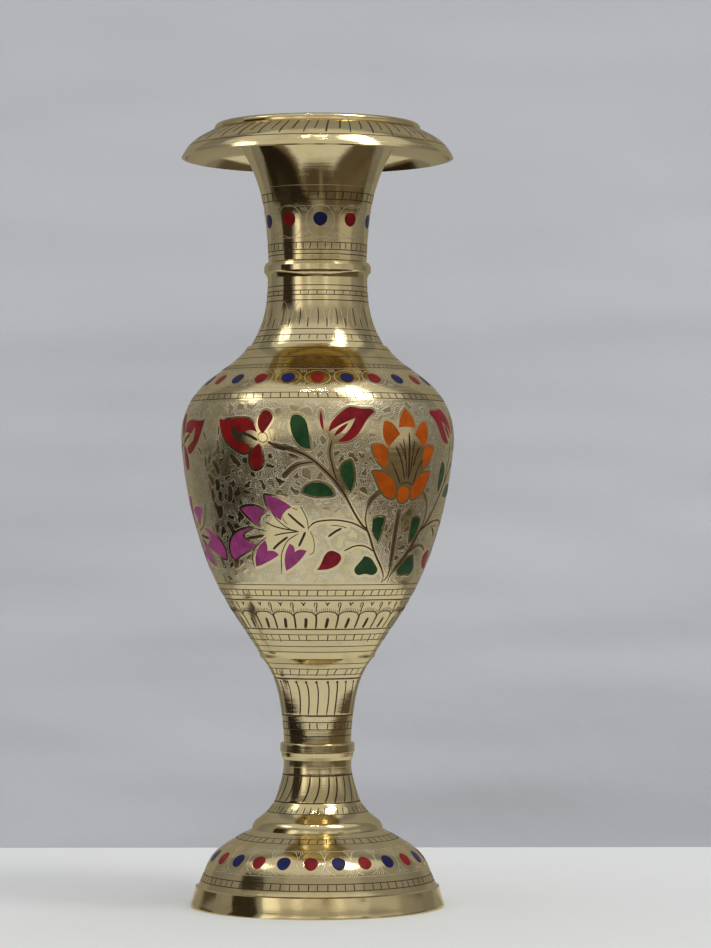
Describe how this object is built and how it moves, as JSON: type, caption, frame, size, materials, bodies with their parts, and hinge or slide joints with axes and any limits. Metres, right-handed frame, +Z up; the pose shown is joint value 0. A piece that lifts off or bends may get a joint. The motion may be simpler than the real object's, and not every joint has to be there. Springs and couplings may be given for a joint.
{
  "type": "flower vase",
  "caption": "Footed brass flower vase with a baluster belly, slim trumpet neck and turned-down brim, engraved bands and coloured enamel flowers and dots.",
  "frame": {"origin": "on the surface the vase stands on, at the centre of the foot", "axes": "+Z up the axis of the vase; azimuth 0 of the decoration faces -Y"},
  "size_m": [0.1066, 0.1064, 0.305],
  "materials": {
    "brass": "polished, engraved and lightly worn",
    "enamel_red": "glossy red enamel",
    "enamel_crimson": "glossy crimson enamel",
    "enamel_blue": "glossy navy enamel",
    "enamel_orange": "glossy orange enamel",
    "enamel_magenta": "glossy magenta enamel",
    "enamel_green": "glossy deep green enamel",
    "lac_black": "black lac rubbed into the engraved lines"
  },
  "bodies": {
    "foot": {"foot": "brass", "foot_dots_red": "enamel_red", "foot_dots_blue": "enamel_blue"},
    "stem_collar": {"stem_collar": "brass"},
    "vase_body": {"lower_body": "brass", "well_disc": "brass", "belly_shell": "brass", "lower_neck": "brass", "trefoil_enamel_red": "enamel_red", "tulip_enamel_crimson": "enamel_crimson", "bud_enamel_crimson": "enamel_crimson", "lotus_petals_orange": "enamel_orange", "lotus_middle_orange": "enamel_orange", "blossom_enamel_magenta": "enamel_magenta", "leaf_enamel_green": "enamel_green", "shoulder_dots_red": "enamel_red", "shoulder_dots_blue": "enamel_blue"},
    "neck_collar": {"neck_collar": "brass"},
    "neck": {"trumpet": "brass", "brim": "brass", "mouth_ring": "brass", "neck_dots_red": "enamel_red", "neck_dots_blue": "enamel_blue"}
  },
  "joints": [
    {"name": "body_rise", "type": "slide", "parent": "foot", "child": "stem_collar", "axis": [0, 0, 1], "range_m": [0, 0.006]},
    {"name": "body_unscrew", "type": "hinge", "parent": "stem_collar", "child": "vase_body", "pos_m": [0, 0, 0.06], "axis": [0, 0, 1], "range_deg": [0, 1440]},
    {"name": "neck_rise", "type": "slide", "parent": "vase_body", "child": "neck_collar", "axis": [0, 0, 1], "range_m": [0, 0.006]},
    {"name": "neck_unscrew", "type": "hinge", "parent": "neck_collar", "child": "neck", "pos_m": [0, 0, 0.247], "axis": [0, 0, 1], "range_deg": [0, 1440]}
  ],
  "couplings": [
    {"joint": "body_rise", "follows": "body_unscrew", "m_per_rad": 0.0002387},
    {"joint": "neck_rise", "follows": "neck_unscrew", "m_per_rad": 0.0002387}
  ]
}
